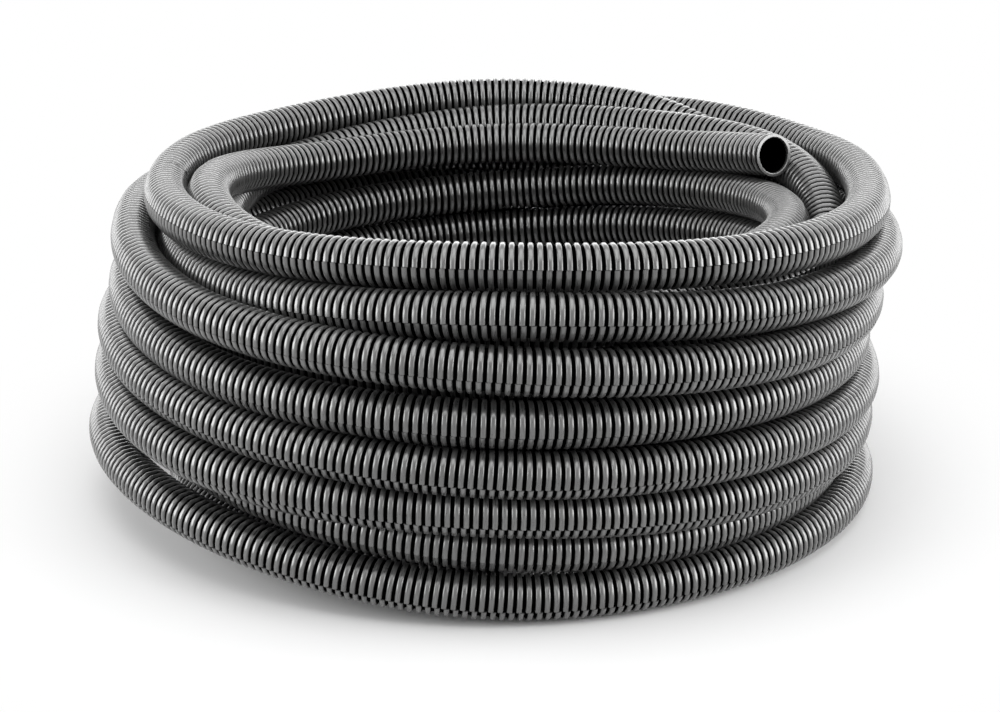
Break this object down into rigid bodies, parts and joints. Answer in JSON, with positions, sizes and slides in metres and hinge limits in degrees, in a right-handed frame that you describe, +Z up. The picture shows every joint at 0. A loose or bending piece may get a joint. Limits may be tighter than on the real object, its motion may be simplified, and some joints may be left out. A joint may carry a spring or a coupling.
{
  "type": "corrugated conduit coil",
  "caption": "Coil of split corrugated conduit lying flat, wound in nested layers of ringed plastic tube, with a hollow cut end inside the coil.",
  "frame": {"origin": "on the floor, on the axis of the coil", "axes": "+Z up along the axis of the coil, front towards -Y, the cut end at the right of the back, facing forwards"},
  "size_m": [0.461, 0.4608, 0.2007],
  "materials": {
    "conduit": "black extruded polypropylene, satin"
  },
  "bodies": {
    "root": {"conduit_coil": "conduit", "conduit_end": "conduit", "conduit_tip": "conduit"}
  },
  "joints": []
}
